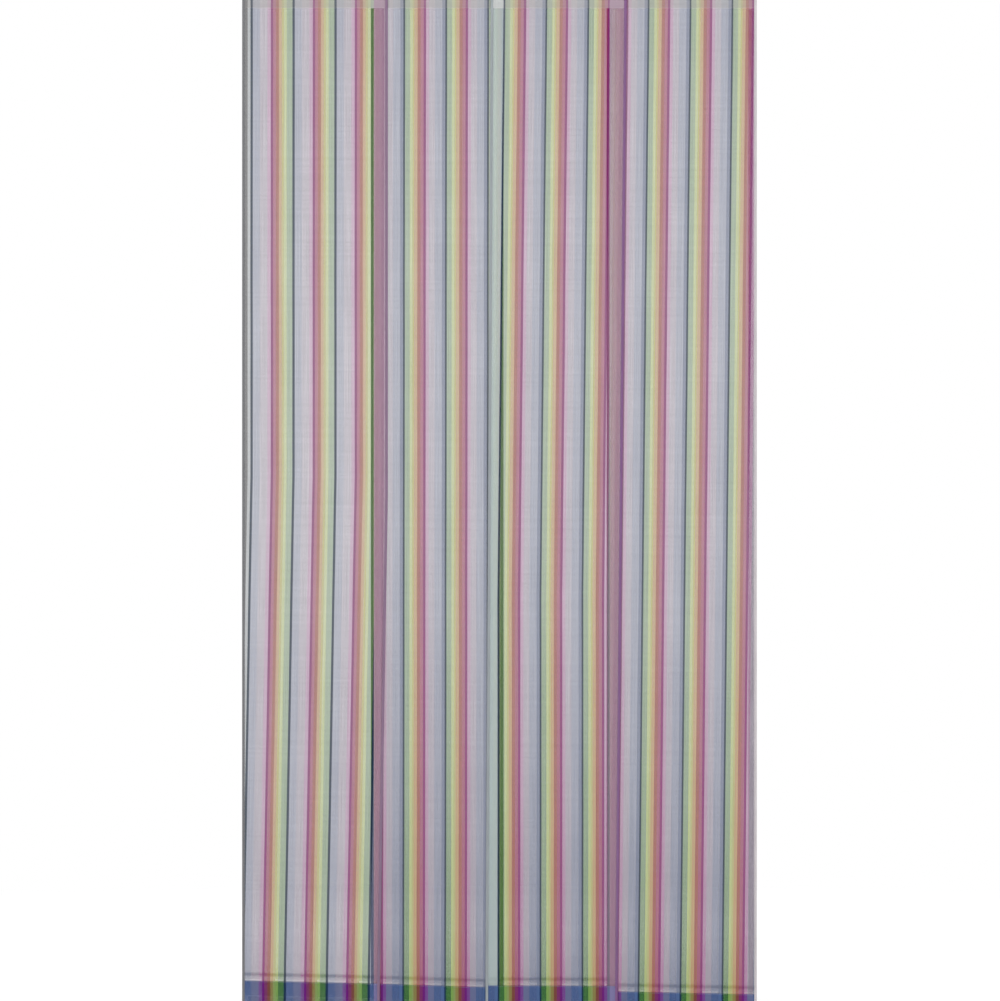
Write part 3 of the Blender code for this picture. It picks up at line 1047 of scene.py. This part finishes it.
@dataclass
class HangingPanel:
    """One panel: its cloth, its side bindings, its stitching and its weight."""

    pattern: Pattern
    weave: StripedMesh
    bindings: dict[Side, WovenTape]
    thread: Thread
    facing: WovenTape | None = None
    facing_width: float = 0.0105
    facing_stand: float = 0.8 * (CLOTH_THICKNESS + BINDING_THICKNESS)
    facing_top: float = 0.002
    columns: int = 72
    rows: int = 150
    nearest_row: float = 0.1
    side_ease: float = 6.0
    end_ease: float = 8.0
    ripple_depth: float = 0.0008
    ripples: int = 5
    ripple_lean: float = 1.3
    ripple_phase: float = 2.1
    ripple_sway: float = 0.35
    ripple_sways: float = 0.9
    pucker_depth: float = 0.00035
    pucker_pitch: float = 0.014
    pucker_reach: float = 0.030
    pucker_ease: float = 40.0
    crease_depth: float = 0.0005
    crease_half: float = 0.004
    crease_heights: tuple[float, ...] = (-0.179, -0.315, -0.538, -0.858, -1.004)
    tape_seam_inset: float = 1.75 * TAPE_SELVEDGE
    turn_seam_rise: float = 1.8 * HEADING_TURN_SHORT
    hem_seam_drop: float = 2.0 * TURN_IN_RADIUS + CLOTH_THICKNESS
    hem_seam_inset: float = 1.2 * BINDING_WIDTH
    binding_seam_inset: float = 0.55 * BINDING_WIDTH

    def heading_rows(self) -> list[Row]:
        """The rows of the folded heading, from its turned-in edge over the top and down."""
        pattern = self.pattern
        radius = PLY_PITCH / 2
        rise = pattern.top_z - pattern.hinge_z
        over = (radius, rise - CLOTH_THICKNESS / 2 - radius)
        rows = [Row(0.0, PLY_PITCH, z) for z in even(HEADING_TURN_SHORT, over[1], 10)[:-1]]
        rows += [Row(0.0, y, z) for y, z in bend(over, radius, 0, 180)]
        rows += [Row(0.0, 0.0, z) for z in even(over[1], 0.0, 12)[1:-1]]
        return rows

    def hanging_rows(self) -> list[Row]:
        """The rows from the hinge line to the top of the hem, closer at each crease."""
        shares = set(even(0.0, 1.0, self.rows))
        near = self.crease_half
        for z in self.crease_heights:
            shares.update(self.pattern.share_at(z + near * step) for step in (-1, -0.5, 0, 0.5, 1))
        ordered = sorted(shares)
        kept = [ordered[0]]
        for share in ordered[1:]:
            if share - kept[-1] > self.nearest_row / self.rows:
                kept.append(share)
        kept[-1] = 1.0
        return [Row(share) for share in kept]

    def hem_rows(self) -> list[Row]:
        """The rows down from the top of the hem, round the weight, up, over and down inside."""
        weight_top = HEM_BEND_RADIUS + WEIGHT_WIDTH
        path = [(0.0, rise) for rise in even(HEM_HEIGHT, weight_top, 8)[1:]]
        path += bend((HEM_BEND_RADIUS, HEM_BEND_RADIUS), HEM_BEND_RADIUS, 180, 360, 12)
        over = (2 * HEM_BEND_RADIUS - TURN_IN_RADIUS, HEM_HEIGHT - TURN_IN_RADIUS)
        path += [(2 * HEM_BEND_RADIUS, rise) for rise in even(weight_top, over[1], 8)[:-1]]
        path += bend(over, TURN_IN_RADIUS, 0, 180)
        end = weight_top + TURN_IN_CLEARANCE
        path += [(HEM_BEND_RADIUS, rise) for rise in even(over[1], end, 6)[1:]]
        return [Row(1.0, self.pattern.side * out, rise - HEM_HEIGHT) for out, rise in path]

    def relief(self, column: float, share: float, z: float) -> float:
        """How far the folds, ripples, creases and puckers stand out from the plane.

        Args:
            column: the place across, from 0 to 1.
            share: the place down, from 0 to 1.
            z: the height, for the creases.

        Returns:
            The distance, always to the panel's own side.
        """
        pattern = self.pattern
        inside = pattern.inside(column)
        phase = pattern.cut.fold_phase
        middle = min(1.0, self.side_ease * inside, self.side_ease * (1 - inside))
        hangs = min(1.0, self.end_ease * share, self.end_ease * (1 - share))
        turns = self.ripples * column + self.ripple_lean * share + self.ripple_phase * phase
        turns += self.ripple_sway * math.sin(math.tau * (self.ripple_sways * share + phase))
        ripple = (1 - math.cos(math.tau * turns)) / 2
        crease = sum(math.exp(-(((z - at) / self.crease_half) ** 2)) for at in self.crease_heights)
        above_hem = z - pattern.hem_top_z(column)
        pucker = (1 - math.cos(math.tau * pattern.across(column, share) / self.pucker_pitch)) / 2
        pucker *= max(0.0, 1 - abs(above_hem) / self.pucker_reach)
        pucker *= min(1.0, self.pucker_ease * (1 - share))
        out = pattern.folds(column, share)
        out += self.ripple_depth * ripple * middle * hangs
        out += self.crease_depth * crease * middle
        return out + self.pucker_depth * pucker * middle

    def place(self, column: float, row: Row) -> Vector:
        """The middle of the cloth at a column and a row."""
        pattern = self.pattern
        z = pattern.height(column, row)
        hangs = row.stand == 0.0 and row.rise == 0.0
        out = self.relief(column, row.share, z) if hangs else 0.0
        y = pattern.plane_y + row.stand + pattern.side * out
        return Vector((pattern.across(column, row.share), y, z))

    def travel(self, rows: Sequence[Row]) -> dict[Row, float]:
        """How far along the cloth each row lies, counted up from the top of the hem.

        Args:
            rows: all the rows, from the turned-in edge at the top.

        Returns:
            The distance of each row, negative in the hem.
        """
        pattern = self.pattern
        spots = [Vector((0, row.stand, pattern.height(0.5, row))) for row in rows]
        run = [0.0]
        for before, after in zip(spots, spots[1:]):
            run.append(run[-1] + (after - before).length)
        hem_top = next(d for d, row in zip(run, rows) if row.share == 1.0)
        return {row: hem_top - d for d, row in zip(run, rows)}

    def make_cloth(self) -> tuple[bpy.types.Object, tuple[float, float]]:
        """The panel's cloth, heading and hem included.

        Returns:
            The cloth, and the flat size that it was cut to.
        """
        pattern = self.pattern
        rows = self.heading_rows() + self.hanging_rows() + self.hem_rows()
        travel = self.travel(rows)
        length = pattern.hinge_z - pattern.hem_top_z(0.5)

        def chart(column: float, row: Row) -> tuple[float, float]:
            """The cloth's own coordinates, which the stripes follow."""
            from_edge = pattern.across(column, row.share) - pattern.left
            return from_edge - pattern.drift(row.share), travel[row]

        cloth = lay_sheet(
            f"panel_cloth_{pattern.number}",
            even(0.0, 1.0, self.columns),
            rows,
            self.place,
            chart,
            CLOTH_THICKNESS,
            self.weave.material(f"striped mesh {pattern.number}", length),
        )
        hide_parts(f"heading_{pattern.number}", f"mesh_panel_{pattern.number}")
        self.hang(cloth)
        flat = (pattern.right - pattern.left, travel[rows[0]] - travel[rows[-1]])
        return cloth, flat

    def hang(self, piece: bpy.types.Object) -> None:
        """Bakes a piece's placement into its mesh."""
        x = (self.pattern.left + self.pattern.right) / 2
        y, z = self.pattern.plane_y, self.pattern.hinge_z
        start, end = (x, y, z + BEND_ABOVE), (x, y, z - BEND_BELOW)
        self.pattern.body
        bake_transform(piece)
        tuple(start)
        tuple(end)

    def binding_stations(self, side: Side) -> list[Triple]:
        """The lines round one binding, from the top down.

        Args:
            side: which edge it binds.

        Returns:
            For each, the x of the cloth's edge, the z, and how much further than one ply
            the tape reaches round, to the door or, if negative, to the viewer.
        """
        pattern = self.pattern
        column = side.column
        hem_top = pattern.hem_top_z(column)
        length = pattern.hinge_z - hem_top
        hem_depth = pattern.side * 2 * HEM_BEND_RADIUS
        top = [(z, PLY_PITCH) for z in even(pattern.top_z, pattern.hinge_z + HEADING_TURN_SHORT, 8)]
        flare = hem_top + BINDING_HEM_GAP
        hangs = even(pattern.hinge_z - BINDING_HINGE_GAP, flare + BINDING_FLARE, self.rows)
        hem = even(flare, pattern.fold_z(column) - CLOTH_THICKNESS / 2, 8)
        stations = top + [(z, 0.0) for z in hangs] + [(z, hem_depth) for z in hem]
        made = []
        for z, depth in stations:
            share = min(max((pattern.hinge_z - z) / length, 0.0), 1.0)
            made.append((pattern.edges(share)[column], z, depth))
        return made

    def make_binding(self, side: Side) -> bpy.types.Object:
        """The tape folded round one side edge.

        Args:
            side: which edge it binds.

        Returns:
            The tape.
        """
        pattern = self.pattern
        inward = BINDING_WIDTH - BINDING_REACH
        section = [(-reach, -BINDING_LEG_Y) for reach in even(inward, 0.0, 3)[:-1]]
        section += bend((0.0, 0.0), BINDING_LEG_Y, -90, 90)
        section += [(-reach, BINDING_LEG_Y) for reach in even(0.0, inward, 3)[1:]]
        girth = {point: i * BINDING_WIDTH / len(section) for i, point in enumerate(section)}

        def place(point: tuple, station: tuple) -> Vector:
            """The middle of the tape at a point of its section and a station."""
            reach, y = point
            edge, z, depth = station
            opened = y + (depth + abs(depth) * y / BINDING_LEG_Y) / 2
            return Vector((edge + side.outward * reach, pattern.plane_y + opened, z))

        name = side.name.lower()
        tape = lay_sheet(
            f"side_binding_{pattern.number}_{name}",
            section,
            self.binding_stations(side),
            place,
            lambda point, station: (girth[point], station[1]),
            BINDING_THICKNESS,
            self.bindings[side].material(f"binding {pattern.number} {name}"),
        )
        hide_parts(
            f"edge_binding_{pattern.number}_{name}",
            f"heading_binding_{pattern.number}_{name}",
        )
        self.hang(tape)
        return tape

    def make_facing(self) -> bpy.types.Object:
        """The turned-in selvedge beside the right binding, sewn flat behind the cloth."""
        pattern = self.pattern
        width = pattern.right - pattern.left
        inner = BINDING_WIDTH / width
        stand = Vector((0.0, pattern.side * self.facing_stand, 0.0))
        rows = [row for row in self.hanging_rows() if not 0.0 < row.share <= self.facing_top]
        facing = lay_sheet(
            f"turned_selvedge_{pattern.number}",
            [1 - inner - self.facing_width / width * share for share in even(1.0, 0.0, 4)],
            rows,
            lambda column, row: self.place(column, row) + stand,
            lambda column, row: (column * width, -row.share),
            BINDING_THICKNESS,
            self.facing.material(f"turned selvedge {pattern.number}"),
        )
        self.hang(facing)
        return facing

    def heading_seams(self, sewing: Stitcher) -> None:
        """Two rows through the loop tape, and one that holds down the turned-in edge."""
        pattern = self.pattern
        low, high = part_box("loop_tape")
        inset = self.tape_seam_inset
        heights = (high.z - inset, low.z + inset, pattern.hinge_z + self.turn_seam_rise)
        left = pattern.left + BINDING_WIDTH
        right = pattern.right - BINDING_WIDTH
        front = pattern.plane_y - CLOTH_THICKNESS / 2
        for z in heights:
            sewing.seam(lambda t, z=z: Vector((left + t * (right - left), front, z)), right - left)

    def hem_seam(self, sewing: Stitcher) -> None:
        """A row along the top of the hem, on both faces."""
        pattern = self.pattern
        width = pattern.right - pattern.left
        bound = self.hem_seam_inset / width
        for out in (-CLOTH_THICKNESS / 2, 2 * HEM_BEND_RADIUS + CLOTH_THICKNESS / 2):
            y = pattern.plane_y + pattern.side * out

            def point(t: float, y: float = y) -> Vector:
                """The seam's point, level with the slanting hem."""
                column = bound + t * (1 - 2 * bound)
                z = pattern.hem_top_z(column) - self.hem_seam_drop
                return Vector((pattern.across(column, 1.0), y, z))

            sewing.seam(point, width * (1 - 2 * bound))

    def binding_seams(self, sewing: Stitcher, side: Side) -> None:
        """A row down the middle of one binding, on both faces.

        Args:
            sewing: what lays the stitches.
            side: which edge is sewn.
        """
        pattern = self.pattern
        top = pattern.hinge_z - BINDING_HINGE_GAP
        hem_top = pattern.hem_top_z(side.column)
        bottom = hem_top + BINDING_HEM_GAP + BINDING_FLARE
        inset = side.outward * self.binding_seam_inset
        for face in (-1, 1):
            y = pattern.plane_y + face * BINDING_REACH

            def point(t: float, y: float = y) -> Vector:
                """The seam's point, which follows the leaning edge."""
                z = top + t * (bottom - top)
                share = (pattern.hinge_z - z) / (pattern.hinge_z - hem_top)
                return Vector((pattern.edges(share)[side.column] - inset, y, z))

            sewing.seam(point, top - bottom)

    def build(self, loop_ground: bpy.types.Object) -> None:
        """Builds the panel and dresses its weight.

        Args:
            loop_ground: the tape that the cloth hangs from; not used.
        """
        number = self.pattern.number
        cloth, flat = self.make_cloth()
        trims = [self.make_binding(side) for side in Side]
        if self.facing:
            trims.append(self.make_facing())
        sewing = Stitcher()
        self.heading_seams(sewing)
        self.hem_seam(sewing)
        for side in Side:
            self.binding_seams(sewing, side)
        threads = sewing.piece(f"stitching_{number}", self.thread.material(f"thread {number}"))
        self.hang(threads)
        trims.append(threads)
        weight = frame["nodes"][f"hem_weight_{number}"]
        dress(weight, ZincSteel().material(f"weight {number}"))
        log.info("panel %d: cloth cut %.3f x %.3f m, %d trims", number, *flat, len(trims))


def dress(node: bpy.types.Object, material: bpy.types.Material) -> None:
    """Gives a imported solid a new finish."""
    node.data.materials.clear()
    node.data.materials.append(material)


@dataclass
class HeaderTapes:
    """The hook tape and its adhesive on the frame, and the loop tape on the curtain."""

    ground: LoopPile = LoopPile(
        colour=(0.82, 0.82, 0.80),
        loops=Grain((0.0010,) * 3, detail=4.0, shade=0.14),
        relief=(0.0003, 0.8),
    )
    pile: LoopPile = LoopPile()
    ground_grid: tuple[int, int] = (200, 10)
    pile_grid: tuple[int, int] = (560, 20)
    ground_thickness: float = 0.0008
    pile_wall: float = 0.0010
    tuft: float = 0.0026
    shag: float = 0.00025

    def make_ground(self) -> bpy.types.Object:
        """The woven ground of the loop tape.

        Returns:
            The ground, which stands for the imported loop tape.
        """
        low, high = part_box("loop_tape")
        columns, rows = self.ground_grid
        y = low.y + self.ground_thickness / 2
        ground = lay_sheet(
            "loop_tape_ground",
            even(low.x, high.x, columns),
            even(high.z, low.z, rows),
            lambda x, z: (x, y, z),
            lambda x, z: (x, z),
            self.ground_thickness,
            self.ground.material("loop ground"),
        )
        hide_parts("loop_tape")
        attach(ground, "header")
        return ground

    def make_pile(self) -> bpy.types.Object:
        """The loops, as one shaggy pad with rounded edges that stays inside its solid.

        Returns:
            The pile.
        """
        low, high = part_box("loop_tape")
        columns, rows = self.pile_grid
        face = high.y - self.pile_wall / 2
        bottom, top = low.z + TAPE_SELVEDGE, high.z - TAPE_SELVEDGE

        def place(x: float, z: float) -> Vector:
            """The middle of the pad, sunk at its edges and where loops lie flat."""
            grain = noise.noise(Vector((x, 0.0, z)) / self.tuft)
            edge = min(top - z, z - bottom) / self.pile_wall
            sunk = self.pile_wall / 2 * max(0.0, 1 - edge)
            return Vector((x, face - self.shag * (1 + grain) / 2 - sunk / 2, z))

        pile = lay_sheet(
            "loop_tape_pile",
            even(low.x + TAPE_SELVEDGE / 2, high.x - TAPE_SELVEDGE / 2, columns),
            even(top, bottom, rows),
            place,
            lambda x, z: (x, z),
            self.pile_wall,
            self.pile.material("loop pile"),
        )
        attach(pile, "header")
        return pile

    def build(self) -> bpy.types.Object:
        """Builds the loop tape and dresses the pieces on the frame.

        Returns:
            The loop tape's ground, which the panels hang from.
        """
        dress(frame["nodes"]["adhesive_strip"], Adhesive().material("adhesive"))
        dress(frame["nodes"]["hook_tape"], MouldedNylon().material("hook nylon"))
        ground = self.make_ground()
        self.make_pile()
        log.info("header: adhesive, hook tape, loop ground and loop pile")
        return ground


@dataclass
class Studio:
    """A pale floor, soft lamps and the camera, straight in front of the curtain."""

    distance: float = 10.0
    sensor: float = 36.0
    floor_gap: float = 0.015
    floor_radius: float = 6.0
    plain_radius: float = 2.2
    white_radius: float = 3.6
    floor_colour: Triple = (0.86, 0.86, 0.86)
    floor_rough: float = 0.9
    floor_gloss: float = 0.1
    floor_lift: float = 0.34
    ambient: float = 0.55
    lamps: tuple[tuple[str, Triple, float, float], ...] = (
        ("key", (-2.6, -4.2, 1.4), 2.6, 0.24),
        ("fill", (3.0, -3.8, 0.2), 2.6, 0.18),
        ("back", (0.8, 4.4, 1.2), 2.6, 0.30),
    )

    def make_camera(self) -> None:
        """The camera, level with the middle of the picture, far off with a long lens."""
        plane_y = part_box("mesh_panel_1")[0].y
        low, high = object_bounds()
        per_pixel = (high.x - low.x) / (CURTAIN_RIGHT_PX - CURTAIN_LEFT_PX)
        right = (PICTURE_WIDTH_PX - CURTAIN_LEFT_PX - CURTAIN_RIGHT_PX) / 2 * per_pixel
        tall = PICTURE_HEIGHT_PX * per_pixel
        data = bpy.data.cameras.new("camera")
        data.sensor_width = self.sensor
        data.lens = self.sensor * self.distance / tall
        data.clip_end = 10 * self.distance
        camera = bpy.data.objects.new("camera", data)
        bpy.context.scene.collection.objects.link(camera)
        camera.location = (right, plane_y - self.distance, TOP_ROW_Z - tall / 2)
        camera.rotation_euler = (math.pi / 2, 0.0, 0.0)
        bpy.context.scene.camera = camera

    def make_lamps(self) -> None:
        """Large soft lamps that the camera doesn't see, all turned to the curtain's middle."""
        low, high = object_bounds()
        middle = (low + high) / 2
        for name, place, size, share in self.lamps:
            data = bpy.data.lights.new(name, "AREA")
            data.shape = "DISK"
            data.size = size
            reach = Vector(place) - middle
            # The watts that light the curtain by this lamp's share
            data.energy = share * math.pi**2 * reach.length_squared
            lamp = bpy.data.objects.new(name, data)
            bpy.context.scene.collection.objects.link(lamp)
            lamp.location = place
            lamp.rotation_euler = reach.to_track_quat("Z", "Y").to_euler()
            lamp.visible_camera = False

    def make_world(self) -> None:
        """White where it is seen, reflected or seen through, and a plain level elsewhere."""
        graph = Graph(bpy.data.worlds.new("studio"))
        bpy.context.scene.world = graph.owner
        path = graph.add("ShaderNodeLightPath").outputs
        seen = path["Is Camera Ray"]
        for name in ("Is Glossy Ray", "Is Transmission Ray"):
            seen = graph.math("MAXIMUM", seen, path[name])
        level = graph.math("MULTIPLY_ADD", seen, 1 - self.ambient, self.ambient)
        graph.surface(Color=(1.0, 1.0, 1.0, 1.0), Strength=level)

    def make_floor(self) -> None:
        """A round floor just under the hems. It keeps the shadow and turns white far off."""
        low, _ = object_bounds()
        bm = bmesh.new()
        place = Matrix.Translation((0, 0, low.z - self.floor_gap))
        bmesh.ops.create_circle(
            bm, cap_ends=True, segments=96, radius=self.floor_radius, matrix=place
        )
        graph = Graph(bpy.data.materials.new("floor"))
        graph.surface(
            Base_Color=(*self.floor_colour, 1.0),
            Roughness=self.floor_rough,
            Specular_IOR_Level=self.floor_gloss,
        )
        flat = graph.stretched(graph.where(), 1.0, 1.0, 1e6)
        far = graph.add("ShaderNodeVectorMath", (flat,), "LENGTH").outputs["Value"]
        span = {"Value": far, "From Min": self.plain_radius, "From Max": self.white_radius}
        fade = graph.add("ShaderNodeMapRange", span).outputs[0]
        seen = graph.add("ShaderNodeLightPath").outputs["Is Camera Ray"]
        white = graph.add("ShaderNodeEmission").outputs[0]
        glow = {"Strength": graph.product(seen, self.floor_lift)}
        lift = graph.add("ShaderNodeEmission", glow).outputs[0]
        lifted = graph.add("ShaderNodeAddShader", (graph.shader.outputs[0], lift)).outputs[0]
        shaders = (graph.product(seen, fade), lifted, white)
        joined = graph.add("ShaderNodeMixShader", shaders).outputs[0]
        graph.put(graph.nodes["Material Output"].inputs["Surface"], joined)
        add_piece("floor", bm, graph.owner)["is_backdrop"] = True

    def build(self) -> None:
        """Sets the whole studio up."""
        bpy.context.scene.view_settings.view_transform = "Standard"
        self.make_camera()
        self.make_lamps()
        self.make_world()
        self.make_floor()
        log.info("studio: camera, %d lamps, world and floor", len(self.lamps))


GREY_TAPE = WovenTape((0.20, 0.20, 0.21))
SLATE_TAPE = WovenTape((0.36, 0.40, 0.42))
MAUVE_TAPE = WovenTape((0.27, 0.17, 0.27))
PLUM_TAPE = WovenTape((0.24, 0.11, 0.27))
PALE_TAPE = WovenTape((0.66, 0.62, 0.64))
DOVE_TAPE = WovenTape((0.40, 0.40, 0.39))
SAND_TAPE = WovenTape((0.44, 0.38, 0.27))
OLIVE_TURNING = WovenTape((0.42, 0.45, 0.38), openness=0.70)
GREY_THREAD = Thread((0.35, 0.36, 0.37))


def cloth_start(number: int) -> float:
    """Where a panel's cloth clears its left binding, in X."""
    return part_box(f"heading_{number}")[0].x + BINDING_WIDTH


def make_panels() -> list[HangingPanel]:
    """The four panels, from left to right.

    Returns:
        The panels, each with its cut, its cloth and its trims.
    """
    cuts = (
        Cut(slope=0.006, fold_phase=0.10, lean_right=-0.0155, lean_start=0.5,
            drift=-0.017, drift_start=0.48),
        Cut(slope=0.008, fold_phase=0.55, drift=-0.002),
        Cut(slope=0.001, fold_phase=0.30, lean_left=-0.010, lean_right=-0.0175,
            drift=-0.0115, drift_end=0.6),
        Cut(slope=0.006, fold_phase=0.80, drift=-0.0195),
    )
    weaves = (
        StripedMesh(
            BACK_STRIPES, 0.0175, ((0.0152, Yarn.SILVER), (0.0097, Yarn.SLATE)),
            painted_light_top=1.35, painted_light_low=1.0, end_from=cloth_start(2),
        ),
        StripedMesh(FACE_STRIPES, 0.0640),
        StripedMesh(
            FACE_STRIPES, 0.0259, ((0.0238, Yarn.MINT),), margin_low=0.0, end_from=cloth_start(4)
        ),
        StripedMesh(FACE_STRIPES, 0.0805),
    )
    tapes = (
        {Side.LEFT: GREY_TAPE, Side.RIGHT: MAUVE_TAPE},
        {Side.LEFT: DOVE_TAPE, Side.RIGHT: PALE_TAPE},
        {Side.LEFT: SLATE_TAPE, Side.RIGHT: PLUM_TAPE},
        {Side.LEFT: SAND_TAPE, Side.RIGHT: PALE_TAPE},
    )
    facings = (None, None, None, OLIVE_TURNING)
    panels = []
    for i, (cut, weave, sides, facing) in enumerate(zip(cuts, weaves, tapes, facings)):
        pattern = Pattern.from_frame(i + 1, cut)
        panels.append(HangingPanel(pattern, weave, sides, GREY_THREAD, facing))
    return panels


def main() -> None:
    """Builds the studio and dresses the curtain."""
    logging.basicConfig(level=logging.INFO, format="%(message)s")
    Studio().build()
    ground = HeaderTapes().build()
    for panel in make_panels():
        panel.build(ground)


if __name__ == "__main__":
    main()
